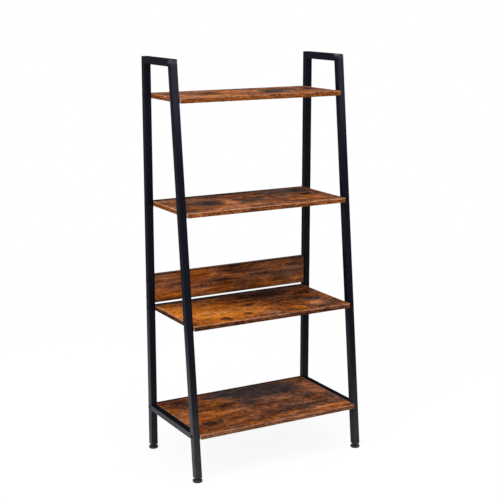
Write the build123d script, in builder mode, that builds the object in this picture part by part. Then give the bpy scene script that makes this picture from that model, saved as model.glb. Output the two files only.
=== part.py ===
from build123d import *
import os
from math import atan, cos, sin

# A four-tier ladder shelf that stands on the floor.  Two welded side frames of square steel tube
# carry four boards and a low back panel, which are bolted between them.  The front legs lean
# back, so the boards get deeper from top to bottom.  Each leg ends in an adjustable glide.
#
# Millimetres.  +Z is up, the shelf faces -Y, and X runs along the boards.  The origin is on the
# floor, at the middle of the rectangle of the four glides.

os.makedirs("parts", exist_ok=True)

# ---- Driving dimensions ---------------------------------------------------------------------

# Side frames
overall_width = 600.0  # outer face to outer face of the two side frames
overall_height = 1264.0  # floor to the top of the top bars
leg_spacing_floor = 318.0  # front to rear leg, centre to centre, where the tubes end
leg_spacing_top = 183.0  # the same, at the very top
tube_size = 22.0
tube_wall = 1.5
tube_corner_radius = 2.0
rail_height = 18.0  # the bottom rails are as wide as the legs, but not as high
frame_corner_radius = 3.0  # the ground-off weld at the two top corners

# Boards and panel
bottom_board_height = 150.0  # floor to the top face of the lowest board
top_board_drop = 112.0  # from the top of the frames down to the top board's top face
board_count = 4
board_thickness = 15.0
board_overhang = 10.0  # how far a board stands in front of the front legs
panel_height = 92.0
panel_board_drop = 3.5  # how far the board under the panel sits below even spacing
panel_lift = 10.5  # open gap between that board's top and the panel
panel_thickness = 15.0
band_thickness = 0.8  # plastic edging glued round every board
band_edge_chamfer = 0.4  # broken arris along the front and rear edging

# Bolts and the threaded inserts that they enter
bolt_diameter = 6.0
bolt_grip = 18.0  # how far a bolt reaches past the inner face of the leg
bolt_head_diameter = 10.5
bolt_head_height = 3.3
bolt_head_round = 2.0
bolt_socket_across_flats = 4.0
bolt_socket_depth = 2.0
bolt_hole_clearance = 0.2
panel_bolt_spacing = 52.0
insert_diameter = 9.0
insert_length = 14.0
insert_fit = 0.02
thread_fit = 0.05
insert_lead = 0.6
bolt_tip_room = 2.0

# Glides: a swivelling pad, a threaded stud with a hexagon collar, and a plug in the tube's end
pad_diameter = 30.0
pad_height = 8.0
pad_top_chamfer = 2.0
pad_bottom_chamfer = 1.2
stud_diameter = 8.0  # an M8 thread, so the glide moves 1.25 mm a turn
stud_grip = 12.0  # how much stud is left above the tube's end when it is screwed right out
stud_tip_chamfer = 0.8
stud_head_diameter = 12.0
stud_head_height = 2.4
stud_head_floor = 1.6  # pad material under the captive head
swivel_clearance = 0.1
collar_across_flats = 14.0
collar_height = 4.0
collar_lift = 0.2
screw_in_travel = 1.2  # how far the glide goes up before its collar is snug
screw_in_reserve = 0.6
screw_out_travel = 12.0  # how far the glide goes down
plug_flange = 2.0
plug_depth = 16.0
plug_fit = 0.05

# ---- Places worked out from the driving dimensions --------------------------------------------

# Heights
collar_bottom = pad_height + collar_lift
collar_top = collar_bottom + collar_height
plug_bottom = collar_top + screw_in_travel + screw_in_reserve
leg_bottom = plug_bottom + plug_flange
board_rise = overall_height - top_board_drop - bottom_board_height
board_spacing = board_rise / (board_count - 1)
board_tops = [bottom_board_height + i * board_spacing for i in range(board_count)]
board_tops[1] -= panel_board_drop
panel_bottom = board_tops[1] + panel_lift
panel_top = panel_bottom + panel_height

# Across the shelf
leg_x = (overall_width - tube_size) / 2
board_length = overall_width - 2 * tube_size
sides = {"left": -1, "right": 1}

# Front to back
rear_leg_y = leg_spacing_floor / 2
rear_face_y = rear_leg_y + tube_size / 2
front_foot_y = -leg_spacing_floor / 2
lean = atan((leg_spacing_floor - leg_spacing_top) / (overall_height - leg_bottom))
leaning_half_tube = tube_size / 2 / cos(lean)
leg_axis = Vector(0, sin(lean), cos(lean))
tube_bore = tube_size - 2 * tube_wall
rail_bore_height = rail_height - 2 * tube_wall
tube_bore_radius = tube_corner_radius - tube_wall


def front_leg_y(z):
    """Where the front leg's centre line is at height z."""
    return front_foot_y + (z - leg_bottom) * sin(lean) / cos(lean)


def front_face_y(z):
    """Where the front leg's front face is at height z."""
    return front_leg_y(z) - leaning_half_tube


def front_leg_back_y(z):
    """Where the front leg's back face is at height z."""
    return front_leg_y(z) + leaning_half_tube


def save(part, name):
    """Labels one finished piece and writes it as its own STEP file."""
    part.label = name
    export_step(part, f"parts/{name}.step")


# Bolts: (leg, height) in each side frame, two to a board's end and two to the panel's
board_bolt_heights = [top - board_thickness / 2 for top in board_tops]
panel_middle = (panel_bottom + panel_top) / 2
panel_bolt_heights = [panel_middle + s * panel_bolt_spacing / 2 for s in (-1, 1)]
front_bolts = [(front_leg_y(z), z) for z in board_bolt_heights]
rear_bolts = [(rear_leg_y, z) for z in board_bolt_heights]
panel_bolts = [(rear_leg_y, z) for z in panel_bolt_heights]
bolt_hole_radius = bolt_diameter / 2 + bolt_hole_clearance
bolt_length = tube_size + bolt_grip

# ---- Side frames ----------------------------------------------------------------------------

# The side view of a whole frame, with its two top corners rounded, used to shape both ends of
# the top bar and the tops of the legs
with BuildPart() as frame_outline:
    with BuildSketch(Plane.YZ):
        with BuildLine():
            Polyline(
                (rear_face_y, 0),
                (rear_face_y, overall_height),
                (front_face_y(overall_height), overall_height),
                (front_face_y(0), 0),
                close=True,
            )
        make_face()
        top_corners = vertices().group_by(Axis.Y)[-1]
        fillet(top_corners, radius=frame_corner_radius)
    extrude(amount=overall_width, both=True)

# Mitre planes at the top corners.  Each runs from the outer corner to the inner one, and its
# normal points to the top bar.
inner_height = overall_height - tube_size
rear_mitre = Plane(
    origin=(0, rear_face_y, overall_height),
    x_dir=(1, 0, 0),
    z_dir=(0, -1, 1),
)
front_mitre = Plane(
    origin=(0, front_face_y(overall_height), overall_height),
    x_dir=(1, 0, 0),
    z_dir=(0, tube_size, front_leg_back_y(inner_height) - front_face_y(overall_height)),
)
leg_end = Plane.XY.offset(leg_bottom)
trim_allowance = 2 * tube_size  # extra tube at each end, before it is cut

for side, sign in sides.items():
    frame_x = sign * leg_x

    leg_start_z = leg_bottom - trim_allowance
    leg_run = (overall_height - leg_bottom) / cos(lean) + 2 * trim_allowance
    with BuildPart() as front_leg:
        leg_plane = Plane(
            origin=(frame_x, front_leg_y(leg_start_z), leg_start_z),
            x_dir=(1, 0, 0),
            z_dir=leg_axis,
        )
        with BuildSketch(leg_plane):
            RectangleRounded(tube_size, tube_size, tube_corner_radius)
            RectangleRounded(tube_bore, tube_bore, tube_bore_radius, mode=Mode.SUBTRACT)
        extrude(amount=leg_run)
        split(bisect_by=leg_end, keep=Keep.TOP)
        split(bisect_by=front_mitre, keep=Keep.BOTTOM)
        add(frame_outline.part, mode=Mode.INTERSECT)
        with Locations(*[(frame_x, y, z) for y, z in front_bolts]):
            Cylinder(bolt_hole_radius, 2 * tube_size, rotation=(0, 90, 0), mode=Mode.SUBTRACT)
    save(front_leg.part, f"{side}_front_leg")

    with BuildPart() as rear_leg:
        with BuildSketch(Plane.XY.offset(leg_bottom)):
            with Locations((frame_x, rear_leg_y)):
                RectangleRounded(tube_size, tube_size, tube_corner_radius)
                RectangleRounded(tube_bore, tube_bore, tube_bore_radius, mode=Mode.SUBTRACT)
        extrude(amount=overall_height - leg_bottom)
        split(bisect_by=rear_mitre, keep=Keep.BOTTOM)
        add(frame_outline.part, mode=Mode.INTERSECT)
        with Locations(*[(frame_x, y, z) for y, z in rear_bolts + panel_bolts]):
            Cylinder(bolt_hole_radius, 2 * tube_size, rotation=(0, 90, 0), mode=Mode.SUBTRACT)
    save(rear_leg.part, f"{side}_rear_leg")

    with BuildPart() as top_bar:
        bar_plane = Plane(
            origin=(frame_x, front_face_y(overall_height), overall_height - tube_size / 2),
            x_dir=(1, 0, 0),
            z_dir=(0, 1, 0),
        )
        with BuildSketch(bar_plane):
            RectangleRounded(tube_size, tube_size, tube_corner_radius)
            RectangleRounded(tube_bore, tube_bore, tube_bore_radius, mode=Mode.SUBTRACT)
        extrude(amount=rear_face_y - front_face_y(overall_height))
        split(bisect_by=rear_mitre, keep=Keep.TOP)
        split(bisect_by=front_mitre, keep=Keep.TOP)
        add(frame_outline.part, mode=Mode.INTERSECT)
    save(top_bar.part, f"{side}_top_bar")

    # The bottom rail is cut to the front leg's lean and butts square against the rear leg
    rail_z = bottom_board_height - rail_height / 2
    rail_start_y = front_leg_y(rail_z)
    with BuildPart() as bottom_rail:
        rail_plane = Plane(origin=(frame_x, rail_start_y, rail_z), x_dir=(1, 0, 0), z_dir=(0, 1, 0))
        with BuildSketch(rail_plane):
            RectangleRounded(tube_size, rail_height, tube_corner_radius)
            RectangleRounded(tube_bore, rail_bore_height, tube_bore_radius, mode=Mode.SUBTRACT)
        extrude(amount=rear_leg_y - tube_size / 2 - rail_start_y)
        leg_back_face = Plane(
            origin=(0, front_leg_back_y(rail_z), rail_z),
            x_dir=(1, 0, 0),
            z_dir=(0, cos(lean), -sin(lean)),
        )
        split(bisect_by=leg_back_face, keep=Keep.TOP)
    save(bottom_rail.part, f"{side}_bottom_rail")

# ---- Boards, panel and their edging -----------------------------------------------------------

core_length = board_length - 2 * band_thickness
core_end_x = core_length / 2
insert_hole_radius = insert_diameter / 2 + insert_fit
tip_hole_depth = bolt_grip - band_thickness + bolt_tip_room


def drill_core_ends(bolts):
    """Drills the insert's seat and the room for the bolt's tip, at both ends of a core."""
    with Locations(*[(s * core_end_x, y, z) for s in (-1, 1) for y, z in bolts]):
        Cylinder(insert_hole_radius, 2 * insert_length, rotation=(0, 90, 0), mode=Mode.SUBTRACT)
        Cylinder(bolt_hole_radius, 2 * tip_hole_depth, rotation=(0, 90, 0), mode=Mode.SUBTRACT)


def drill_end_bands(bolts):
    """Lets the bolts through the bands on the two ends."""
    with Locations(*[(s * core_end_x, y, z) for s in (-1, 1) for y, z in bolts]):
        Cylinder(bolt_hole_radius, 4 * band_thickness, rotation=(0, 90, 0), mode=Mode.SUBTRACT)


for number, top in enumerate(board_tops):
    name = f"shelf_{board_count - number}"
    board_front_y = front_face_y(top) - board_overhang
    board_middle_y = (board_front_y + rear_face_y) / 2
    board_depth = rear_face_y - board_front_y
    board_middle_z = top - board_thickness / 2
    core_depth = board_depth - 2 * band_thickness
    bolts = [front_bolts[number], rear_bolts[number]]

    with BuildPart() as board:
        with Locations((0, board_middle_y, board_middle_z)):
            Box(core_length, core_depth, board_thickness)
        drill_core_ends(bolts)
    save(board.part, f"{name}_board")

    with BuildPart() as front_band:
        with Locations((0, board_front_y + band_thickness / 2, board_middle_z)):
            Box(board_length, band_thickness, board_thickness)
        front_arrises = edges().filter_by(Axis.X).group_by(Axis.Y)[0]
        chamfer(front_arrises, length=band_edge_chamfer)
    save(front_band.part, f"{name}_front_band")

    with BuildPart() as rear_band:
        with Locations((0, rear_face_y - band_thickness / 2, board_middle_z)):
            Box(board_length, band_thickness, board_thickness)
        rear_arrises = edges().filter_by(Axis.X).group_by(Axis.Y)[-1]
        chamfer(rear_arrises, length=band_edge_chamfer)
    save(rear_band.part, f"{name}_rear_band")

    with BuildPart() as end_bands:
        end_band_x = core_end_x + band_thickness / 2
        with Locations(*[(s * end_band_x, board_middle_y, board_middle_z) for s in (-1, 1)]):
            Box(band_thickness, core_depth, board_thickness)
        drill_end_bands(bolts)
    save(end_bands.part, f"{name}_end_bands")

panel_core_height = panel_height - 2 * band_thickness
with BuildPart() as panel:
    with Locations((0, rear_leg_y, panel_middle)):
        Box(core_length, panel_thickness, panel_core_height)
    drill_core_ends(panel_bolts)
save(panel.part, "back_panel_board")

with BuildPart() as panel_long_bands:
    long_band_z = (panel_core_height + band_thickness) / 2
    with Locations(*[(0, rear_leg_y, panel_middle + s * long_band_z) for s in (-1, 1)]):
        Box(board_length, panel_thickness, band_thickness)
save(panel_long_bands.part, "back_panel_long_bands")

with BuildPart() as panel_end_bands:
    panel_band_x = core_end_x + band_thickness / 2
    with Locations(*[(s * panel_band_x, rear_leg_y, panel_middle) for s in (-1, 1)]):
        Box(band_thickness, panel_thickness, panel_core_height)
    drill_end_bands(panel_bolts)
save(panel_end_bands.part, "back_panel_end_bands")

# ---- Bolts and inserts --------------------------------------------------------------------

# One plane per bolt, on the outer face of its leg, facing away from the shelf
all_bolts = front_bolts + rear_bolts + panel_bolts
head_planes = [
    Plane(origin=(s * overall_width / 2, y, z), x_dir=(0, 1, 0), z_dir=(s, 0, 0))
    for s in (-1, 1)
    for y, z in all_bolts
]
with BuildPart() as bolts:
    with BuildSketch(*head_planes):
        Circle(bolt_head_diameter / 2)
    extrude(amount=bolt_head_height)
    head_tops = [
        edge
        for edge in edges().filter_by(GeomType.CIRCLE)
        if abs(edge.center().X) > overall_width / 2 + bolt_head_height / 2
    ]
    fillet(head_tops, radius=bolt_head_round)
    with BuildSketch(*head_planes):
        Circle(bolt_diameter / 2)
    extrude(amount=-bolt_length)
    with BuildSketch(*[plane.offset(bolt_head_height) for plane in head_planes]):
        RegularPolygon(bolt_socket_across_flats / 2, side_count=6, major_radius=False)
    extrude(amount=-bolt_socket_depth, mode=Mode.SUBTRACT)
save(bolts.part, "frame_bolts")

# One plane per insert, on the end face of its core, facing into the wood
insert_planes = [
    Plane(origin=(s * core_end_x, y, z), x_dir=(0, 1, 0), z_dir=(-s, 0, 0))
    for s in (-1, 1)
    for y, z in all_bolts
]
with BuildPart() as inserts:
    with BuildSketch(*insert_planes):
        Circle(insert_diameter / 2)
    extrude(amount=insert_length)
    inner_ends = [
        edge
        for edge in edges().filter_by(GeomType.CIRCLE)
        if abs(edge.center().X) < core_end_x - insert_length / 2
    ]
    chamfer(inner_ends, length=insert_lead)
    with BuildSketch(*insert_planes):
        Circle(bolt_diameter / 2 + thread_fit)
    extrude(amount=insert_length, mode=Mode.SUBTRACT)
save(inserts.part, "threaded_inserts")

# ---- Levelling glides -----------------------------------------------------------------------

stud_bottom = stud_head_floor + swivel_clearance
stud_head_top = stud_bottom + stud_head_height
stud_top = leg_bottom + screw_out_travel + stud_grip
stud_radius = stud_diameter / 2
plug_size = tube_bore - 2 * plug_fit
upright = Vector(0, 0, 1)
rest_on_base = (Align.CENTER, Align.CENTER, Align.MIN)

# For each glide: where it stands, which way its tube runs, and how deep the tube's cut end is
glides = {
    "left_front": (-leg_x, front_foot_y, leg_axis, 2 * leaning_half_tube),
    "right_front": (leg_x, front_foot_y, leg_axis, 2 * leaning_half_tube),
    "left_rear": (-leg_x, rear_leg_y, upright, tube_size),
    "right_rear": (leg_x, rear_leg_y, upright, tube_size),
}

for name, (glide_x, glide_y, tube_axis, tube_end_depth) in glides.items():
    # The plug follows the tube's lean inside, but its flange is level and its thread upright
    with BuildPart() as plug:
        tube_end = Plane(origin=(glide_x, glide_y, leg_bottom), x_dir=(1, 0, 0), z_dir=tube_axis)
        with BuildSketch(tube_end.offset(-plug_flange)):
            RectangleRounded(plug_size, plug_size, tube_bore_radius)
        extrude(amount=plug_flange + plug_depth)
        split(bisect_by=leg_end, keep=Keep.TOP)
        with BuildSketch(Plane.XY.offset(plug_bottom)):
            with Locations((glide_x, glide_y)):
                RectangleRounded(tube_size, tube_end_depth, tube_corner_radius)
        extrude(amount=plug_flange)
        with Locations((glide_x, glide_y, leg_bottom)):
            Cylinder(stud_radius + thread_fit, 4 * plug_depth, mode=Mode.SUBTRACT)
    save(plug.part, f"{name}_tube_plug")

    with BuildPart() as stud:
        with Locations((glide_x, glide_y, stud_bottom)):
            Cylinder(stud_radius, stud_top - stud_bottom, align=rest_on_base)
        chamfer(edges().sort_by(Axis.Z)[-1], length=stud_tip_chamfer)
        with Locations((glide_x, glide_y, stud_bottom)):
            Cylinder(stud_head_diameter / 2, stud_head_height, align=rest_on_base)
        with BuildSketch(Plane.XY.offset(collar_bottom)):
            with Locations((glide_x, glide_y)):
                RegularPolygon(collar_across_flats / 2, side_count=6, major_radius=False)
        extrude(amount=collar_height)
    save(stud.part, f"{name}_glide_stud")

    with BuildPart() as pad:
        with Locations((glide_x, glide_y, 0)):
            Cylinder(pad_diameter / 2, pad_height, align=rest_on_base)
        rims = edges().filter_by(GeomType.CIRCLE).sort_by(Axis.Z)
        chamfer(rims[0], length=pad_bottom_chamfer)
        chamfer(rims[-1], length=pad_top_chamfer)
        with Locations((glide_x, glide_y, stud_head_floor)):
            Cylinder(
                stud_head_diameter / 2 + swivel_clearance,
                stud_head_height + 2 * swivel_clearance,
                align=rest_on_base,
                mode=Mode.SUBTRACT,
            )
        with Locations((glide_x, glide_y, stud_head_top)):
            Cylinder(
                stud_radius + swivel_clearance,
                pad_height,
                align=rest_on_base,
                mode=Mode.SUBTRACT,
            )
    save(pad.part, f"{name}_glide_pad")
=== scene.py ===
# %% [markdown]
# # A ladder shelf
#
# This lesson dresses a ladder shelf whose shapes come ready made from the CAD model: two welded
# side frames of steel tube, four boards, a low back panel, bolts and levelling glides.  The CAD
# file could be modelled again in Blender, but then the two could drift apart, so the lesson loads
# it as a fixed frame and only adds what CAD leaves out: finishes, threads, welds, light, camera.

# %% Load the frame
import math

import bmesh
import bpy
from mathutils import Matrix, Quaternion, Vector


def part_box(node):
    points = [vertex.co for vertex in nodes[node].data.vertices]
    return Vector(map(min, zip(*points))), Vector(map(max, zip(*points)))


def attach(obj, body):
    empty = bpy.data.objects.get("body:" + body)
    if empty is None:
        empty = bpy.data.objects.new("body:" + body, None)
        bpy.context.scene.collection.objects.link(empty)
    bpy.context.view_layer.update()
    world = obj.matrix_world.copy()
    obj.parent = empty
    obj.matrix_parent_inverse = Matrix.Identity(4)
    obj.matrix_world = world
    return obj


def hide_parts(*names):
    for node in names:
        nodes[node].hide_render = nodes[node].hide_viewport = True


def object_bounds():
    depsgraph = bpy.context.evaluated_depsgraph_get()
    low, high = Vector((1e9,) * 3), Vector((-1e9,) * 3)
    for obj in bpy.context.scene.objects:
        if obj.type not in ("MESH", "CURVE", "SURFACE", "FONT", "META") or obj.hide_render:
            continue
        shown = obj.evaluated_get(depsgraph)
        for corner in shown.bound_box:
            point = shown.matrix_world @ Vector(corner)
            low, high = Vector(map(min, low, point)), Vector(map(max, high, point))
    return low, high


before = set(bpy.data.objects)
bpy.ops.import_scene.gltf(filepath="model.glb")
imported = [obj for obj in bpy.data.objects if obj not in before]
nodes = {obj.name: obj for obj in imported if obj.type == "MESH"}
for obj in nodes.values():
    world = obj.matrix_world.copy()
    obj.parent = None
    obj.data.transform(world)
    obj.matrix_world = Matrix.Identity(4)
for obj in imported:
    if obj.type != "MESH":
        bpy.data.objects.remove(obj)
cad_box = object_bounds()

scene = bpy.context.scene
print("nodes", len(nodes), "box", [round(side, 4) for side in cad_box[1] - cad_box[0]])

# %% [markdown]
# ## The camera
#
# Furniture is shown from a little above and from the side, far enough away that the legs stay
# nearly parallel.  An orthographic camera would lose the depth of the boards, so this one is a
# short telephoto lens.  A small shift frames the shelf without tilting its upright lines more.

# %% Camera
camera_place = Vector((-1.8017, -3.1753, 1.4613))
camera_heading = math.radians(29.399)  # turned from +Y towards +X
camera_dip = math.radians(13.092)  # below the horizon
camera_lens = 85.04  # millimetres, on the usual 36 mm sensor
camera_shift = 0.0279

camera = bpy.data.objects.new("camera", bpy.data.cameras.new("camera"))
scene.collection.objects.link(camera)
camera.location = camera_place
level = math.cos(camera_dip)
sight = Vector(
    (math.sin(camera_heading) * level, math.cos(camera_heading) * level, -math.sin(camera_dip))
)
camera.rotation_mode = "QUATERNION"
camera.rotation_quaternion = sight.to_track_quat("-Z", "Y")
camera.data.lens = camera_lens
camera.data.shift_y = camera_shift
scene.camera = camera
print("camera looks along", [round(part, 3) for part in sight])

# %% [markdown]
# ## Writing a material as a sum
#
# A material is a network of nodes, and long networks made line by line are hard to read.  It
# could be drawn by hand in the editor, but then it isn't in the script.  Here one small class
# holds an output socket.  Python's own operators add Math nodes to it, so `1 - mask * 0.5` is
# both the sum and the nodes.  Every other kind of node comes from the one method `add`.

# %% A value in a material
RAMP = "ShaderNodeValToRGB"
MIX_A = 6  # the Mix node's two colour inputs and its colour output
MIX_B = 7
MIX_OUT = 2


class Value:
    """One node output in a material, on which sums are written as in Python."""

    def __init__(self, tree, socket):
        self.tree = tree
        self.socket = socket

    def add(self, kind, settings=None, inputs=None, out=0):
        """Adds a node, sets it up, then gives its sockets their numbers or links."""
        node = self.tree.nodes.new(kind)
        for name, setting in (settings or {}).items():
            if name == "stops":
                set_stops(node.color_ramp, setting)
            else:
                setattr(node, name, setting)
        for name, given in (inputs or {}).items():
            if isinstance(given, Value):
                self.tree.links.new(given.socket, node.inputs[name])
            else:
                node.inputs[name].default_value = given
        return Value(self.tree, node.outputs[out])

    def math(self, operation, first, second):
        return self.add("ShaderNodeMath", {"operation": operation}, {0: first, 1: second})

    def __add__(self, other):
        return self.math("ADD", self, other)

    def __radd__(self, other):
        return self.math("ADD", other, self)

    def __sub__(self, other):
        return self.math("SUBTRACT", self, other)

    def __rsub__(self, other):
        return self.math("SUBTRACT", other, self)

    def __mul__(self, other):
        return self.math("MULTIPLY", self, other)

    def __rmul__(self, other):
        return self.math("MULTIPLY", other, self)

    def at_least(self, other):
        return self.math("MAXIMUM", self, other)

    def clamp(self):
        return self.add("ShaderNodeClamp", None, {"Value": self})

    def away_from(self, middle):
        """How far this value is from middle, whichever side it is on."""
        away = self - middle
        return away.math("ABSOLUTE", away, 0.0)

    def part(self, index):
        """One of a vector's three parts: 0 along X, 1 along Y, 2 along Z."""
        return self.add("ShaderNodeSeparateXYZ", None, {0: self}, out=index)

    def vector(self, operation, other):
        """A Vector Math node, for places and directions."""
        return self.add("ShaderNodeVectorMath", {"operation": operation}, {0: self, 1: other})

    def length(self):
        return self.add("ShaderNodeVectorMath", {"operation": "LENGTH"}, {0: self}, out="Value")

    def noise(self, stretch, detail=3.0, roughness=0.55, out="Fac"):
        """Noise that repeats about `stretch` times a metre along each axis."""
        scaled = self.vector("MULTIPLY", stretch)
        inputs = {"Vector": scaled, "Scale": 1.0, "Detail": detail, "Roughness": roughness}
        return self.add("ShaderNodeTexNoise", None, inputs, out)

    def step(self, low, high):
        """0 below low, 1 above high, and a smooth rise between them."""
        inputs = {"Value": self, "From Min": low, "From Max": high}
        return self.add("ShaderNodeMapRange", {"interpolation_type": "SMOOTHSTEP"}, inputs)

    def ramp(self, stops):
        return self.add(RAMP, {"stops": stops}, {"Fac": self})

    def blend(self, colour_a, colour_b):
        """colour_a where this value is 0, colour_b where it is 1."""
        inputs = {0: self, MIX_A: colour_a, MIX_B: colour_b}
        return self.add("ShaderNodeMix", {"data_type": "RGBA"}, inputs, out=MIX_OUT)


def set_stops(ramp, stops):
    """Gives a colour ramp its (place, colour) stops."""
    while len(ramp.elements) < len(stops):
        ramp.elements.new(1.0)
    for element, (place, colour) in zip(ramp.elements, stops):
        element.position = place
        element.color = colour


def rgb(red, green, blue):
    return (red, green, blue, 1.0)


COAT_ROUGHNESS = 0.3


def new_material(name, roughness=0.5, metallic=0.0, specular=0.5, coat=0.0):
    """A material to fill in: itself, its main shader, and each point's place on the object."""
    material = bpy.data.materials.new(name)
    material.use_nodes = True
    tree = material.node_tree
    shader = tree.nodes["Principled BSDF"]
    shader.inputs["Roughness"].default_value = roughness
    shader.inputs["Metallic"].default_value = metallic
    shader.inputs["Specular IOR Level"].default_value = specular
    shader.inputs["Coat Weight"].default_value = coat
    shader.inputs["Coat Roughness"].default_value = COAT_ROUGHNESS
    start = Value(tree, shader.outputs[0])
    place = start.add("ShaderNodeTexCoord", out="Object")
    return material, shader, place


def feed(shader, name, value):
    value.tree.links.new(value.socket, shader.inputs[name])


def feed_bump(shader, height, distance, strength=1.0):
    """Lets a height, in metres once times distance, tilt the surface's light."""
    inputs = {"Height": height, "Distance": distance, "Strength": strength}
    feed(shader, "Normal", height.add("ShaderNodeBump", None, inputs))


def dress(material, *names):
    """Gives CAD nodes this material."""
    for name in names:
        slots = nodes[name].data.materials
        slots.clear()
        slots.append(material)
    print(material.name, "on", len(names), "nodes")


# %% [markdown]
# ## Powder coat
#
# The frames are black powder coat.  The powder melts into a skin that is never quite flat: seen
# close up it has the dimples of an orange.  A mirror-smooth black would look like plastic, and a
# coarse one like sandpaper, so the dimples are about a millimetre across and very shallow.
#
# Low down the faces are painted a little grey, the outer and forward ones most: a painted
# reflection of the pale floor.  That could be painted as a map by hand, but a point's height, its
# distance from the middle and the way its face looks say enough: the painted sheen fades out half
# way up.  Level faces gather dust, which takes most of their gloss.  Near the top of a front leg
# its front faces are painted a bluer grey as a highlight, and the bend where leg and top bar meet
# carries the palest painted highlight of all.

# %% Powder coat
TUBES = [name for name in nodes if name.endswith(("_leg", "_top_bar", "_bottom_rail"))]
FLOOR_SHEEN_BELOW = 0.10  # metres above the floor, where the painted floor sheen is strongest
FLOOR_SHEEN_UP_TO = 0.60
LOW_FRONT_SHEEN_UP_TO = 0.36  # on the faces that look forward
TOP_HIGHLIGHT_FROM = 0.92
OUTER_SKIN = (0.0004, 0.0016)  # how deep inside the outer face a point still counts as on it
BEND_HIGHLIGHT_DROP = (0.004, 0.016)  # how far below the top the bend's painted highlight starts to fade, and ends
BEND_HIGHLIGHT_REACH = (0.010, 0.024)  # the same, behind the bend
UPRIGHT_FACE = (0.75, 0.95)  # how squarely a face has to look one way to count as facing it
LEVEL_FACE = (0.5, 0.9)
FLOOR_SHEEN_GREY = rgb(0.0600, 0.0600, 0.0660)
LOW_FRONT_SHEEN_GREY = rgb(0.0330, 0.0320, 0.0370)
TOP_HIGHLIGHT_GREY = rgb(0.0230, 0.0245, 0.0390)
BEND_HIGHLIGHT_GREY = rgb(0.1700, 0.1750, 0.2100)
outer_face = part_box("left_bottom_rail")[0].x
frame_top = cad_box[1].z
top_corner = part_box("left_top_bar")[0].y  # where the top bar's front end is

powder_coat, shader, place = new_material("satin_black_powder_coat", specular=0.0)
dimples = place.noise((900.0, 900.0, 900.0), detail=2.0)
patchy = place.noise((6.0, 6.0, 6.0), detail=2.0)
smears = place.noise((25.0, 25.0, 60.0), detail=4.0)
outer = place.part(0).away_from(0.0).step(-outer_face - OUTER_SKIN[1], -outer_face - OUTER_SKIN[0])
facing = place.add("ShaderNodeTexCoord", out="Normal")
to_side = facing.part(0).away_from(0.0).step(*UPRIGHT_FACE)
low_down = 1.0 - place.part(2).step(FLOOR_SHEEN_BELOW, FLOOR_SHEEN_UP_TO)
# Painted reflection of the pale floor: outer and side faces painted paler grey low down.
wear_and_floor_sheen = low_down * (0.35 * to_side + 0.65 * outer) * (0.85 + (smears - 0.5) * 0.9)
wear_and_floor_sheen = wear_and_floor_sheen.clamp()
black = patchy.ramp([
    (0.3, rgb(0.0022, 0.0026, 0.0056)),
    (0.7, rgb(0.0037, 0.0043, 0.0086)),
])
dusty_top = facing.part(2).step(*LEVEL_FACE)
to_front = (0.0 - facing.part(1)).step(*UPRIGHT_FACE)
rearward = place.part(1).step(-0.05, 0.10)
# Painted floor light: forward faces painted paler low down, half as much on the rear legs.
low_front_sheen = to_front * (1.0 - place.part(2).step(0.0, LOW_FRONT_SHEEN_UP_TO)) * (1.0 - rearward * 0.5)
# Painted highlight: the front legs' forward faces painted a bluer grey near the top.
top_highlight = to_front * (1.0 - rearward) * place.part(2).step(TOP_HIGHLIGHT_FROM, frame_top)
top_highlight = top_highlight * (0.75 + (patchy - 0.5) * 0.8)
# Painted highlight on the bend where a front leg meets its top bar.
bend_highlight = place.part(2).step(frame_top - BEND_HIGHLIGHT_DROP[1], frame_top - BEND_HIGHLIGHT_DROP[0])
bend_highlight = bend_highlight * (1.0 - place.part(1).step(top_corner + BEND_HIGHLIGHT_REACH[0], top_corner + BEND_HIGHLIGHT_REACH[1]))
shade = wear_and_floor_sheen.blend(black, FLOOR_SHEEN_GREY)
shade = (low_front_sheen * (0.8 + (smears - 0.5) * 0.8)).clamp().blend(shade, LOW_FRONT_SHEEN_GREY)
shade = top_highlight.clamp().blend(shade, TOP_HIGHLIGHT_GREY)
shade = (bend_highlight * smears.step(0.35, 0.6) * 0.5).clamp().blend(shade, BEND_HIGHLIGHT_GREY)
feed(shader, "Base Color", shade)
feed(shader, "Roughness", 0.40 + dimples * 0.10 + wear_and_floor_sheen * 0.06)
feed(shader, "Coat Weight", 0.11 - dusty_top * 0.090)
feed_bump(shader, dimples, distance=0.00006)
dress(powder_coat, *TUBES)

# %% [markdown]
# ## Printed wood decor
#
# The boards are particle board under a printed foil that imitates old, smoked wood: amber and
# brown streaks along the board, dark scorched patches and charcoal grey ones.  One noise texture
# gives streaks that are the same everywhere, which no old board has.  So each board's own
# material adds a few listed blotches, as a printer would, and the noise only frays their edges.
#
# A blotch is (along, across, half length, half width, strength), in metres from the left end and
# from the front edge, or on the panel from its lower edge.

# %% Tones of the decor
AMBER_STOPS = [
    (0.00, rgb(0.010, 0.006, 0.005)),
    (0.18, rgb(0.038, 0.013, 0.007)),
    (0.36, rgb(0.110, 0.031, 0.009)),
    (0.54, rgb(0.230, 0.064, 0.011)),
    (0.74, rgb(0.430, 0.122, 0.013)),
    (1.00, rgb(0.720, 0.255, 0.032)),
]
DUSTY_STOPS = [
    (0.00, rgb(0.014, 0.011, 0.011)),
    (0.18, rgb(0.044, 0.025, 0.021)),
    (0.36, rgb(0.118, 0.054, 0.035)),
    (0.54, rgb(0.225, 0.098, 0.056)),
    (0.74, rgb(0.390, 0.172, 0.095)),
    (1.00, rgb(0.600, 0.320, 0.190)),
]
CHARCOAL_STOPS = [
    (0.10, rgb(0.012, 0.010, 0.011)),
    (0.45, rgb(0.038, 0.031, 0.032)),
    (0.80, rgb(0.095, 0.067, 0.058)),
]
FOIL_GLOSS = 0.035
BLOTCH_DEPTH = 0.022  # how far a blotch reaches into the board, so the two faces differ
VEIN_WIDTH = 0.022  # how near its middle value the noise has to be to draw a vein
RIM_FROM = 0.0010  # a board's rim along its front and ends, painted paler as a highlight: its full width, then where it has faded out
END_RIM_TO = 0.0050
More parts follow.
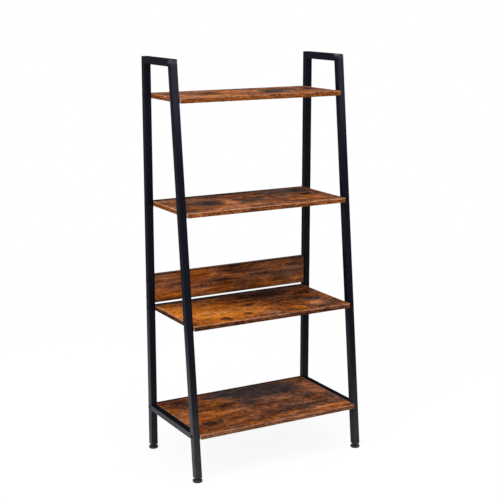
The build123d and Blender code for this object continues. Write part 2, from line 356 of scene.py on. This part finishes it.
FRONT_RIM_TO = 0.0045


def blotch_field(spot, blotches):
    """The highest of all blotches at each point: their strength in the middle, 0 at the rim."""
    field = None
    for along, across, half_length, half_width, strength in blotches:
        reach = (1 / half_length, 1 / half_width, 1 / BLOTCH_DEPTH)
        away = spot.vector("SUBTRACT", (along, across, 0.0)).vector("MULTIPLY", reach).length()
        rise = (1.0 - away) * strength
        field = rise if field is None else field.at_least(rise)
    return field.at_least(0.0)


# %% [markdown]
# Each board's pattern is one number, `light`, that two colour ramps turn into wood: an amber one
# and a dustier, rosier one, mixed by a slow noise.  It adds up slow clouds, mottles, streaks,
# grit that keeps it crisp, thin dark veins where a noise crosses its middle value, and small
# dark flecks.  An upright panel is seen square on, so there the streaks take the lead.

# %% One board's foil
def decor(name, board, tone, dusty, contrast, seed, bright, dark, charcoal, rosy=(), upright=False):
    """The printed foil of one board, laid flat or upright."""
    material, shader, place = new_material(name, specular=0.0, coat=FOIL_GLOSS)
    low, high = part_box(board)
    size = high - low
    if upright:
        depth = size.z
        dark_rear_width = 0.004
        front_rim_tone = -0.22
        offset = place.vector("SUBTRACT", tuple(low))
        turned = {0: offset.part(0), 1: offset.part(2), 2: offset.part(1)}
        spot = offset.add("ShaderNodeCombineXYZ", None, turned)
    else:
        depth = size.y
        dark_rear_width = 0.017
        front_rim_tone = 0.08
        spot = place.vector("SUBTRACT", (low.x, low.y, high.z))
    along = spot.part(0)
    across = spot.part(1)

    grain = spot.vector("ADD", (seed, seed * 0.7, seed * 1.3))
    fray = grain.noise((30.0, 50.0, 46.0), detail=6.0, roughness=0.74, out="Color")
    shift = fray.vector("SUBTRACT", (0.5, 0.5, 0.5)).vector("MULTIPLY", (0.075, 0.050, 0.02))
    frayed = spot.vector("ADD", shift)
    warped = grain.vector("ADD", shift.vector("MULTIPLY", (0.5, 0.5, 0.5)))

    clouds = grain.noise((5.0, 14.0, 30.0), detail=3.0)
    mottles = warped.noise((20.0, 38.0, 38.0), detail=6.0, roughness=0.68)
    drawn = warped.noise((9.0, 85.0, 85.0), detail=5.0, roughness=0.66)
    streaks = grain.noise((9.0, 170.0, 170.0), detail=4.0, roughness=0.60)
    fibres = grain.noise((45.0, 900.0, 900.0), detail=2.0)
    flecks = warped.noise((75.0, 95.0, 95.0), detail=3.0).step(0.57, 0.70)
    veins = 1.0 - warped.noise((11.0, 46.0, 46.0), detail=4.0).away_from(0.5).step(0.0, VEIN_WIDTH)
    grit = grain.noise((70.0, 75.0, 75.0), detail=4.0, roughness=0.65)

    figure = (clouds - 0.5) * 0.5 + (mottles - 0.5) * (0.5 if upright else 1.5)
    figure = figure + (drawn - 0.5) * (1.2 if upright else 0.8)
    figure = figure + (streaks - 0.5) * ((clouds * 3.0 - 0.5) if upright else 0.6)
    figure = figure + (grit - 0.5) * (0.3 if upright else 1.0)
    light = tone + (figure - flecks * 0.24 - veins * 0.12) * contrast + (fibres - 0.5) * 0.2
    darker = blotch_field(frayed, dark) * (0.45 + mottles * 0.6 + flecks * 0.5)
    light = light + blotch_field(frayed, bright) - darker

    # Rims: a painted highlight along a board's front and ends, darker along its rear edge; on the
    # panel the lower rim is darker instead.
    to_end = 0.5 * size.x - (along - 0.5 * size.x).away_from(0.0)
    end_rim = 1.0 - to_end.step(RIM_FROM, END_RIM_TO)
    front_rim = 1.0 - across.step(RIM_FROM, FRONT_RIM_TO)
    rear_rim = across.step(depth - dark_rear_width, depth - dark_rear_width * 0.3)
    rim = front_rim.at_least(end_rim)
    light = light + end_rim * 0.08 + front_rim * front_rim_tone - rear_rim * 0.42

    hue = grain.noise((9.0, 20.0, 20.0), detail=4.0).step(0.38, 0.62) * 0.6 + (dusty - 0.30)
    if rosy:
        hue = hue + blotch_field(frayed, rosy)
    hue = (hue + rim * 0.35).clamp()
    shown = light.clamp()
    colour = hue.blend(shown.ramp(AMBER_STOPS), shown.ramp(DUSTY_STOPS))
    scorched = (blotch_field(frayed, charcoal) + (mottles - 0.5) * 1.0).step(0.06, 0.62)
    colour = (scorched * 0.90).blend(colour, shown.ramp(CHARCOAL_STOPS))

    feed(shader, "Base Color", colour)
    feed(shader, "Roughness", 0.33 + fibres * 0.16)
    feed_bump(shader, streaks + fibres * 0.5, distance=0.00012)
    return material


# %% [markdown]
# ### The four boards, from the top down
#
# The widest boards show the most of their print.  The lowest has one long charcoal patch at the
# back and amber at its left, the third is the brightest, and the upper two are plainer.

# %% Boards
TOP_BOARD = decor(
    "decor_top_board", "shelf_1_board", tone=0.48, dusty=0.38, contrast=0.95, seed=1.3,
    bright=[(0.10, 0.03, 0.16, 0.06, 0.22), (0.22, 0.16, 0.10, 0.08, 0.2),
            (0.50, 0.03, 0.09, 0.04, 0.22)],
    dark=[(0.15, 0.10, 0.025, 0.06, 0.7), (0.52, 0.14, 0.025, 0.06, 0.5),
          (0.28, 0.20, 0.05, 0.03, 0.4), (0.34, 0.07, 0.05, 0.04, 0.4)],
    charcoal=[(0.37, 0.10, 0.060, 0.090, 0.95), (0.43, 0.14, 0.07, 0.06, 0.7)],
)
SECOND_BOARD = decor(
    "decor_second_board", "shelf_2_board", tone=0.40, dusty=0.36, contrast=0.9, seed=2.9,
    bright=[(0.20, 0.045, 0.20, 0.05, 0.30), (0.205, 0.11, 0.035, 0.10, 0.45),
            (0.05, 0.21, 0.07, 0.05, 0.3), (0.44, 0.05, 0.025, 0.025, 0.35),
            (0.50, 0.06, 0.07, 0.05, 0.2)],
    dark=[(0.28, 0.25, 0.40, 0.03, 0.25), (0.485, 0.128, 0.03, 0.025, 0.6),
          (0.50, 0.21, 0.06, 0.05, 0.5), (0.15, 0.118, 0.05, 0.045, 0.25)],
    charcoal=[(0.13, 0.118, 0.075, 0.075, 0.75), (0.28, 0.108, 0.060, 0.035, 0.7),
              (0.395, 0.128, 0.03, 0.015, 0.7), (0.45, 0.20, 0.16, 0.060, 0.65)],
)
THIRD_BOARD = decor(
    "decor_third_board", "shelf_3_board", tone=0.40, dusty=-0.08, contrast=0.85, seed=4.1,
    bright=[(0.12, 0.10, 0.27, 0.19, 0.52), (0.02, 0.15, 0.12, 0.17, 0.62),
            (0.31, 0.09, 0.07, 0.06, 0.35), (0.39, 0.042, 0.035, 0.022, 0.45),
            (0.305, 0.15, 0.035, 0.012, 0.45), (0.478, 0.070, 0.055, 0.040, 0.45),
            (0.275, 0.035, 0.05, 0.03, 0.35), (0.18, 0.11, 0.10, 0.06, 0.15)],
    dark=[(0.125, 0.03, 0.024, 0.024, 1.2), (0.215, 0.055, 0.020, 0.02, 0.8),
          (0.23, 0.195, 0.07, 0.035, 0.45), (0.265, 0.145, 0.05, 0.022, 0.5),
          (0.50, 0.197, 0.035, 0.017, 0.5), (0.30, 0.075, 0.022, 0.015, 0.4),
          (0.33, 0.22, 0.19, 0.08, 0.36), (0.32, 0.29, 0.40, 0.035, 0.40),
          (0.20, 0.30, 0.24, 0.030, 0.60)],
    charcoal=[(0.40, 0.265, 0.13, 0.035, 0.7), (0.4925, 0.115, 0.05, 0.022, 1.2),
              (0.34, 0.09, 0.035, 0.02, 0.5), (0.165, 0.280, 0.14, 0.018, 0.6),
              (0.43, 0.045, 0.025, 0.012, 0.6), (0.10, 0.292, 0.16, 0.026, 0.8)],
    rosy=[(0.48, 0.06, 0.08, 0.05, 1.3), (0.30, 0.03, 0.08, 0.05, 0.8),
          (0.54, 0.17, 0.03, 0.05, 0.7), (0.45, 0.15, 0.22, 0.20, 0.45)],
)
BOTTOM_BOARD = decor(
    "decor_bottom_board", "shelf_4_board", tone=0.44, dusty=0.04, contrast=0.78, seed=6.7,
    bright=[(0.185, 0.235, 0.10, 0.05, 0.2), (0.03, 0.18, 0.07, 0.12, 0.25),
            (0.12, 0.15, 0.14, 0.07, 0.2), (0.39, 0.17, 0.06, 0.014, 0.5),
            (0.44, 0.095, 0.06, 0.012, 0.4), (0.49, 0.03, 0.09, 0.03, 0.4),
            (0.525, 0.235, 0.04, 0.08, 0.25), (0.325, 0.03, 0.10, 0.02, 0.2)],
    dark=[(0.065, 0.28, 0.07, 0.055, 0.45), (0.19, 0.20, 0.06, 0.014, 0.6),
          (0.115, 0.185, 0.05, 0.012, 0.5), (0.075, 0.075, 0.045, 0.025, 0.5),
          (0.35, 0.07, 0.15, 0.03, 0.25)],
    charcoal=[(0.35, 0.27, 0.19, 0.080, 1.3), (0.2725, 0.19, 0.055, 0.035, 0.8),
              (0.23, 0.29, 0.12, 0.05, 1.0), (0.435, 0.235, 0.08, 0.045, 0.8),
              (0.50, 0.095, 0.08, 0.05, 0.3)],
    rosy=[(0.42, 0.16, 0.14, 0.06, 0.5), (0.53, 0.12, 0.06, 0.12, 0.8),
          (0.40, 0.18, 0.28, 0.24, 0.75)],
)
for number, material in enumerate((TOP_BOARD, SECOND_BOARD, THIRD_BOARD, BOTTOM_BOARD), start=1):
    dress(material, f"shelf_{number}_board")

# %% [markdown]
# ### The back panel
#
# The panel shows the same foil on an upright face, so its blotches are set from its lower edge.
# Seen square on, its streaks are drawn out longer than those of the boards.

# %% Panel
PANEL_FOIL = decor(
    "decor_back_panel", "back_panel_board", tone=0.52, dusty=0.24, contrast=0.8, seed=9.2,
    upright=True,
    bright=[(0.215, 0.070, 0.06, 0.016, 0.2), (0.475, 0.067, 0.05, 0.007, 0.3),
            (0.41, 0.024, 0.035, 0.018, 0.25), (0.05, 0.022, 0.06, 0.016, 0.2),
            (0.175, 0.022, 0.06, 0.016, 0.25), (0.525, 0.020, 0.035, 0.016, 0.2)],
    dark=[(0.54, 0.072, 0.07, 0.05, 0.3), (0.385, 0.050, 0.07, 0.009, 0.35),
          (0.28, 0.045, 0.07, 0.007, 0.3), (0.30, 0.072, 0.12, 0.014, 0.15),
          (0.08, 0.047, 0.05, 0.009, 0.35), (0.24, 0.050, 0.06, 0.006, 0.3),
          (0.0625, 0.040, 0.016, 0.004, 0.4), (0.235, 0.042, 0.018, 0.004, 0.4)],
    charcoal=[(0.38, 0.048, 0.05, 0.006, 0.3)],
    rosy=[(0.50, 0.045, 0.12, 0.07, 0.5), (0.30, 0.065, 0.12, 0.03, 0.4)],
)
dress(PANEL_FOIL, "back_panel_board")

# %% [markdown]
# ## Edging
#
# The boards' edges are covered with a thin plastic band in a quieter print.  It could share the
# boards' material, but the band is cut from another roll: its streaks run along the band,
# whichever way that goes.  Its upper arris is painted as a paler line, a painted highlight, and
# so are the ends of a board near the front, where they stand out past the legs.  So each board's
# long and short bands get a material of their own from one function.

# %% Edge bands
ARRIS_HIGHLIGHT = 0.0036  # how far the painted arris highlight reaches down from the top of a band
END_HIGHLIGHT_FROM_FRONT = 0.009  # how far back from a board's front its end bands get a painted highlight
END_HIGHLIGHT_FULLY = 0.4  # the share of that length where the painted highlight is at its strongest
END_HIGHLIGHT_PALE = rgb(0.400, 0.280, 0.200)


def edging(name, board, tone, arris_highlight_tone, dusty, stretch, *bands):
    """Edging whose streaks follow the band."""
    material, shader, place = new_material(name, specular=0.0, coat=FOIL_GLOSS)
    low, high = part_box(board)
    grain = place.vector("ADD", (3.7, 1.9, high.z))
    streaks = grain.noise(stretch, detail=5.0, roughness=0.65)
    clouds = grain.noise((9.0, 9.0, 9.0), detail=2.0)
    ticks = grain.noise([min(4.0 * side, 260.0) for side in stretch], detail=3.0, roughness=0.6)
    fibres = grain.noise((700.0, 700.0, 1100.0), detail=2.0)
    above = place.part(2)
    # Painted highlight: a paler line along the band's upper arris.
    arris_highlight = above.step(high.z - ARRIS_HIGHLIGHT, high.z - ARRIS_HIGHLIGHT * 0.7)
    underside = 1.0 - above.step(low.z, low.z + 0.003)
    light = tone + (clouds - 0.5) * 0.4 + (streaks - 0.5) * 1.0 + (ticks - 0.5) * 1.2
    light = light + (fibres - 0.5) * 0.15
    light = (light + arris_highlight * (arris_highlight_tone - tone) - underside * 0.05).clamp()
    hue = (dusty + arris_highlight * 0.85 + (clouds - 0.5) * 0.8).clamp()
    colour = hue.blend(light.ramp(AMBER_STOPS), light.ramp(DUSTY_STOPS))
    facing = place.add("ShaderNodeTexCoord", out="Normal")
    at_end = facing.part(0).away_from(0.0).step(*UPRIGHT_FACE)
    end_highlight_to = low.y + END_HIGHLIGHT_FROM_FRONT
    full_end_highlight_to = low.y + END_HIGHLIGHT_FROM_FRONT * END_HIGHLIGHT_FULLY
    # Painted highlight: end faces painted pale near the board's front.
    at_front = 1.0 - place.part(1).step(full_end_highlight_to, end_highlight_to)
    end_highlight = (at_end * at_front * (0.75 + (ticks - 0.5) * 0.8)).clamp()
    feed(shader, "Base Color", end_highlight.blend(colour, END_HIGHLIGHT_PALE))
    feed(shader, "Roughness", 0.38 + fibres * 0.12)
    feed_bump(shader, streaks, distance=0.00008)
    dress(material, *bands)


ALONG_X = (24.0, 260.0, 300.0)  # how the streaks' noise is stretched on the long bands
ALONG_Y = (260.0, 24.0, 300.0)  # and on the end bands
# For each board from the top down: the band's tone, its arris's painted highlight tone, and how
# dusty it is.
EDGE_TONES = [(0.455, 0.57, 0.05), (0.40, 0.70, 0.08), (0.25, 0.63, 0.12), (0.42, 0.65, 0.60)]
for number, tones in enumerate(EDGE_TONES, start=1):
    board = f"shelf_{number}_board"
    long_bands = [f"shelf_{number}_front_band", f"shelf_{number}_rear_band"]
    edging(f"edging_long_{number}", board, *tones, ALONG_X, *long_bands)
    edging(f"edging_end_{number}", board, *tones, ALONG_Y, f"shelf_{number}_end_bands")
panel_bands = ["back_panel_long_bands", "back_panel_end_bands"]
edging("edging_panel", "back_panel_board", 0.30, 0.34, 0.2, ALONG_X, *panel_bands)

# %% [markdown]
# ## Bolts, inserts and glides
#
# The button-head bolts are blackened steel, the inserts inside the boards are zinc, and the
# glide's pad and plug are moulded plastic with a fine spark-eroded grain.

# %% Small parts
black_oxide, shader, place = new_material("black_oxide_steel", specular=0.2)
wear_and_floor_sheen = place.noise((260.0, 260.0, 260.0), detail=3.0)
feed(shader, "Base Color", wear_and_floor_sheen.ramp([
    (0.35, rgb(0.003, 0.003, 0.004)),
    (0.75, rgb(0.010, 0.010, 0.012)),
]))
feed(shader, "Roughness", 0.30 + wear_and_floor_sheen * 0.2)
feed_bump(shader, wear_and_floor_sheen, distance=0.00004)
dress(black_oxide, "frame_bolts")

zinc, shader, place = new_material("zinc_insert", metallic=1.0)
spangle = place.noise((700.0, 700.0, 700.0), detail=2.0)
feed(shader, "Base Color", spangle.ramp([
    (0.3, rgb(0.42, 0.42, 0.44)),
    (0.7, rgb(0.62, 0.61, 0.58)),
]))
feed(shader, "Roughness", 0.28 + spangle * 0.2)
dress(zinc, "threaded_inserts")

moulded, shader, place = new_material("black_moulded_plastic", specular=0.35)
eroded = place.noise((1600.0, 1600.0, 1600.0), detail=2.0)
feed(shader, "Base Color", eroded.ramp([
    (0.3, rgb(0.006, 0.006, 0.007)),
    (0.7, rgb(0.012, 0.012, 0.013)),
]))
feed(shader, "Roughness", 0.5 + eroded * 0.15)
feed_bump(shader, eroded, distance=0.00005)
dress(moulded, *[name for name in nodes if name.endswith(("_glide_pad", "_tube_plug"))])

black_zinc, shader, place = new_material("black_zinc_stud", specular=0.4)
worn = place.noise((500.0, 500.0, 500.0), detail=3.0)
feed(shader, "Base Color", worn.ramp([
    (0.35, rgb(0.008, 0.008, 0.009)),
    (0.75, rgb(0.022, 0.022, 0.024)),
]))
feed(shader, "Roughness", 0.3 + worn * 0.2)
dress(black_zinc, *[name for name in nodes if name.endswith("_glide_stud")])

# %% [markdown]
# ### The glide's screw
#
# Each glide hangs on an M8 screw: a flat head held captive in the pad, a six-sided collar for a
# spanner, and a thread that climbs 1.25 mm a turn.  CAD keeps it a plain cylinder.  A thread could
# be faked with a bump, but its outline would stay straight.  So one groove of the thread is drawn
# as a profile and spun up the screw, each step of the spin lifting it a little.  After a full turn
# it meets its own start, and merging doubles closes the skin.

# %% Helpers for new pieces
MERGE_GAP = 1e-6  # points nearer than this are one point


def once(items):
    """Each item once, in the order they come."""
    return list(dict.fromkeys(items))


def settle_faces(mesh):
    """Gives the faces one lasting order: an extrusion lists them differently on each run."""
    mesh.verts.index_update()
    ordered = sorted(mesh.faces, key=lambda face: sorted(vert.index for vert in face.verts))
    for index, face in enumerate(ordered):
        face.index = index
    mesh.faces.sort()


def finished(mesh, name, body, material, smooth_below=0.0):
    """Makes a mesh into a piece that rides on a body and takes its finish from a slot."""
    settle_faces(mesh)
    bmesh.ops.recalc_face_normals(mesh, faces=mesh.faces)
    for face in mesh.faces:
        face.smooth = smooth_below > 0
    for edge in mesh.edges:
        if edge.is_manifold and edge.calc_face_angle(0.0) > smooth_below:
            edge.smooth = False
    loose = sum(not edge.is_manifold for edge in mesh.edges)
    piece = bpy.data.objects.new(name, bpy.data.meshes.new(name))
    mesh.to_mesh(piece.data)
    mesh.free()
    scene.collection.objects.link(piece)
    piece.data.materials.append(material)
    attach(piece, body)
    print(name, len(piece.data.polygons), "faces,", loose, "open edges")
    return piece


def lathe(mesh, profile, centre, steps=32):
    """Spins a (radius, height) profile, open at its two ends on the axis, into a closed solid."""
    rail = [mesh.verts.new((centre.x + radius, centre.y, height)) for radius, height in profile]
    edges = [mesh.edges.new(pair) for pair in zip(rail, rail[1:])]
    bmesh.ops.spin(
        mesh, geom=rail + edges, cent=(centre.x, centre.y, 0.0), axis=(0.0, 0.0, 1.0),
        dvec=(0.0, 0.0, 0.0), angle=math.tau, steps=steps, use_merge=True, use_duplicate=False,
    )
    bmesh.ops.remove_doubles(mesh, verts=mesh.verts, dist=MERGE_GAP)


# %% Screws of the glides
PITCH = 0.00125
CREST = 0.0040  # M8: half of 8 mm
GROOVE = 0.00332
TURN_STEPS = 24
HEAD_RADIUS = 0.0060
HEAD_HEIGHT = 0.0024
HEAD_CUT = 0.0003  # the turned corner under the head
OVERLAP = 0.0005  # how far shank, collar and thread reach into each other
COLLAR_LIFT = 0.0002  # between the pad and the collar
COLLAR_HEIGHT = 0.0040
COLLAR_FLATS = 0.0140
COLLAR_CUT = 0.0006  # how much its corners are turned off
TIP_CUT = 0.0008
# One pitch of the thread, as (radius, share of the pitch): floor, flank, crest, flank.
THREAD = [(GROOVE, 0.0), (GROOVE, 0.25), (CREST, 0.5625), (CREST, 0.6875), (GROOVE, 1.0)]


def add_thread(mesh, centre, bottom, top):
    """A threaded rod from bottom to top."""
    turns = math.ceil((top - bottom) / PITCH) + 2
    start = bottom - 1.5 * PITCH
    before = set(mesh.verts)
    rail = [
        mesh.verts.new((centre.x + radius, centre.y, start + share * PITCH))
        for radius, share in THREAD
    ]
    edges = [mesh.edges.new(pair) for pair in zip(rail, rail[1:])]
    bmesh.ops.spin(
        mesh, geom=rail + edges, cent=(centre.x, centre.y, 0.0), axis=(0.0, 0.0, 1.0),
        dvec=(0.0, 0.0, PITCH / TURN_STEPS), angle=math.tau * turns,
        steps=TURN_STEPS * turns, use_duplicate=False,
    )
    thread = [vert for vert in mesh.verts if vert not in before]
    bmesh.ops.remove_doubles(mesh, verts=thread, dist=MERGE_GAP)
    for height, side in ((bottom, -1.0), (top, 1.0)):
        thread = [vert for vert in mesh.verts if vert not in before]
        edges = once(edge for vert in thread for edge in vert.link_edges)
        faces = once(face for vert in thread for face in vert.link_faces)
        cut = bmesh.ops.bisect_plane(
            mesh, geom=thread + edges + faces, dist=1e-7,
            plane_co=(centre.x, centre.y, height), plane_no=(0.0, 0.0, side), clear_outer=True,
        )
        rim = [item for item in cut["geom_cut"] if isinstance(item, bmesh.types.BMEdge)]
        rim.sort(key=lambda edge: sorted(tuple(vert.co) for vert in edge.verts))
        bmesh.ops.edgeloop_fill(mesh, edges=rim)
    for vert in [vert for vert in mesh.verts if vert not in before]:
        away = Vector((vert.co.x - centre.x, vert.co.y - centre.y))
        most = CREST - TIP_CUT + (top - vert.co.z)
        if away.length > most:
            away *= most / away.length
            vert.co.x, vert.co.y = centre.x + away.x, centre.y + away.y


def add_collar(mesh, centre, bottom, corners_along_x):
    """The six-sided collar, its corners turned off a little at both ends."""
    across_corners = COLLAR_FLATS / 2 / math.cos(math.pi / 6)
    made = bmesh.ops.create_cone(
        mesh, cap_ends=True, segments=6, radius1=across_corners, radius2=across_corners,
        depth=COLLAR_HEIGHT,
    )
    hexagon = made["verts"]
    at_corner = max(hexagon, key=lambda vert: vert.co.x).co.x > across_corners * 0.99
    if at_corner != corners_along_x:
        bmesh.ops.rotate(
            mesh, verts=hexagon, cent=(0.0, 0.0, 0.0),
            matrix=Quaternion((0.0, 0.0, 1.0), math.pi / 6).to_matrix(),
        )
    bmesh.ops.translate(mesh, verts=hexagon, vec=(centre.x, centre.y, bottom + COLLAR_HEIGHT / 2))
    rims = once(edge for vert in hexagon for edge in vert.link_edges)
    rims = [edge for edge in rims if abs(edge.verts[0].co.z - edge.verts[1].co.z) < MERGE_GAP]
    bmesh.ops.bevel(
        mesh, geom=rims, offset=COLLAR_CUT, affect="EDGES", segments=2, profile=0.5, material=-1,
    )


for stud in sorted(name for name in nodes if name.endswith("_glide_stud")):
    foot = stud[: -len("_glide_stud")]
    low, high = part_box(stud)
    centre = (low + high) / 2
    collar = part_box(f"{foot}_glide_pad")[1].z + COLLAR_LIFT
    mesh = bmesh.new()
    lathe(mesh, [
        (0.0, low.z), (HEAD_RADIUS - HEAD_CUT, low.z), (HEAD_RADIUS, low.z + HEAD_CUT),
        (HEAD_RADIUS, low.z + HEAD_HEIGHT), (CREST, low.z + HEAD_HEIGHT),
        (CREST, collar + OVERLAP), (0.0, collar + OVERLAP),
    ], centre)
    add_collar(mesh, centre, collar, corners_along_x=high.x - low.x > high.y - low.y)
    add_thread(mesh, centre, collar + COLLAR_HEIGHT - OVERLAP, high.z)
    screw = finished(
        mesh, f"{foot}_glide_screw", f"{foot}_stud", black_zinc,
        smooth_below=math.radians(25),
    )
    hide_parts(stud)

# %% [markdown]
# ## Weld beads
#
# The low rails butt against the legs and are welded there.  The faces that show are ground flush,
# but above and below the rail the bead is left as it was laid: a string of small overlapping
# scales.  A smooth fillet would look moulded.  Here a ring is pushed along the joint, and every
# other ring is a little smaller.

# %% Welds of the bottom rails
LEG_LEAN = 0.135 / 1.248  # how far a front leg leans back, over the height that it does so
BEAD = 0.0011  # radius of the larger rings
BEAD_SMALL = 0.82  # the share of it that every other ring has
BEAD_TIP = 0.5  # and the first and the last ring
BEAD_SCALES = 9
BEAD_END = 0.0012  # how far a bead stays from the edges of the tube


def add_bead(mesh, from_x, to_x, y, z):
    """One bead along X: rings pushed along the joint, swelling at each scale."""
    rings = BEAD_SCALES * 2
    pace = (to_x - from_x) / rings
    tip = bmesh.ops.create_circle(mesh, cap_ends=True, radius=BEAD * BEAD_TIP, segments=10)
    ring = tip["verts"]
    bmesh.ops.rotate(
        mesh, verts=ring, cent=(0.0, 0.0, 0.0),
        matrix=Quaternion((0.0, 1.0, 0.0), math.pi / 2).to_matrix(),
    )
    bmesh.ops.translate(mesh, verts=ring, vec=(from_x, y, z))
    front = once(face for vert in ring for face in vert.link_faces)
    radius = BEAD * BEAD_TIP
    for step in range(1, rings + 1):
        grown = bmesh.ops.extrude_face_region(mesh, geom=front)["geom"]
        if step > 1:  # the ring before it is inside now
            bmesh.ops.delete(mesh, geom=front, context="FACES_ONLY")
        front = [item for item in grown if isinstance(item, bmesh.types.BMFace)]
        moved = [item for item in grown if isinstance(item, bmesh.types.BMVert)]
        wanted = BEAD * (BEAD_TIP if step == rings else BEAD_SMALL if step % 2 else 1.0)
        size = wanted / radius
        radius = wanted
        bmesh.ops.translate(mesh, verts=moved, vec=(pace, 0.0, 0.0))
        middle = Vector((from_x + pace * step, y, z))
        for vert in moved:
            vert.co = middle + (vert.co - middle) * size


for side in ("left", "right"):
    low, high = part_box(f"{side}_bottom_rail")
    front_top = low.y + LEG_LEAN * (high.z - low.z)
    mesh = bmesh.new()
    for y, z in ((low.y, low.z), (front_top, high.z), (high.y, low.z), (high.y, high.z)):
        add_bead(mesh, low.x + BEAD_END, high.x - BEAD_END, y, z)
    finished(
        mesh, f"{side}_rail_welds", "root", powder_coat,
        smooth_below=math.radians(60),
    )

# %% [markdown]
# ## Floor, light and background
#
# The studio is white and its light soft.  A brighter lamp would burn the floor to white and the
# boards with it, so the lamps stay at a plain level.  The floor looks white because rays from
# the camera find it partly glowing, while all other rays find an ordinary pale floor.  What is
# left of its own shading keeps the shelf's soft shadow.  Away from the shelf the glow rises to
# full white, so that no line shows where the floor ends and the background starts.

# %% Floor
FLOOR_HALF = 200.0
FLOOR_GLOW = 0.91  # the glowing share of the floor near the shelf
SHADOW_REACH = 0.9  # metres from the middle of the shelf, up to where the floor keeps its shading
WHITE_FROM = 3.5  # and from where on it is fully white

mesh = bmesh.new()
bmesh.ops.create_grid(mesh, x_segments=1, y_segments=1, size=FLOOR_HALF)
floor = bpy.data.objects.new("floor", bpy.data.meshes.new("floor"))
mesh.to_mesh(floor.data)
mesh.free()
scene.collection.objects.link(floor)

pale, shader, place = new_material("pale_floor", roughness=0.9, specular=0.1)
shader.inputs["Base Color"].default_value = rgb(0.92, 0.92, 0.92)
camera_ray = place.add("ShaderNodeLightPath", out="Is Camera Ray")
glossy_ray = place.add("ShaderNodeLightPath", out="Is Glossy Ray")
clear_ray = place.add("ShaderNodeLightPath", out="Is Transmission Ray")
rays = camera_ray.at_least(glossy_ray).at_least(clear_ray)
far = place.length().step(SHADOW_REACH, WHITE_FROM)
glow = place.add("ShaderNodeEmission", None, {"Strength": 1.0})
surface = place.add("ShaderNodeMixShader", None, {
    0: rays * (FLOOR_GLOW + far * (1.0 - FLOOR_GLOW)),
    1: Value(place.tree, shader.outputs[0]),
    2: glow,
})
place.tree.links.new(surface.socket, place.tree.nodes["Material Output"].inputs["Surface"])
floor.data.materials.append(pale)

# %% World and lamps
WORLD_STRENGTH = 0.70  # for all rays but those that show the background

world = bpy.data.worlds.new("studio")
world.use_nodes = True
scene.world = world
sky = world.node_tree.nodes["Background"]
sky.inputs["Color"].default_value = rgb(1.0, 1.0, 1.0)
start = Value(world.node_tree, sky.outputs[0])
seen = start.add("ShaderNodeLightPath", out="Is Camera Ray")
mirrored = start.add("ShaderNodeLightPath", out="Is Glossy Ray")
through = start.add("ShaderNodeLightPath", out="Is Transmission Ray")
white = seen.at_least(mirrored).at_least(through)
strength = WORLD_STRENGTH + white * (1.0 - WORLD_STRENGTH)
world.node_tree.links.new(strength.socket, sky.inputs["Strength"])


def softbox(name, place, target, size, power):
    """A square area lamp that faces the target."""
    lamp = bpy.data.objects.new(name, bpy.data.lights.new(name, "AREA"))
    scene.collection.objects.link(lamp)
    lamp.data.size = size
    lamp.data.energy = power
    lamp.location = place
    lamp.rotation_mode = "QUATERNION"
    lamp.rotation_quaternion = (Vector(target) - Vector(place)).to_track_quat("-Z", "Y")
    print(name, power, "W")


shelf_middle = (cad_box[0] + cad_box[1]) / 2
softbox("left_softbox", (-2.6, -1.2, 2.2), shelf_middle, size=2.0, power=70.0)
softbox("overhead_softbox", (0.4, -0.6, 3.4), shelf_middle, size=2.5, power=50.0)

# %% [markdown]
# ## Finish
#
# Colours are shown as written, through the plain Standard view transform.

# %% Finish
scene.view_settings.view_transform = "Standard"
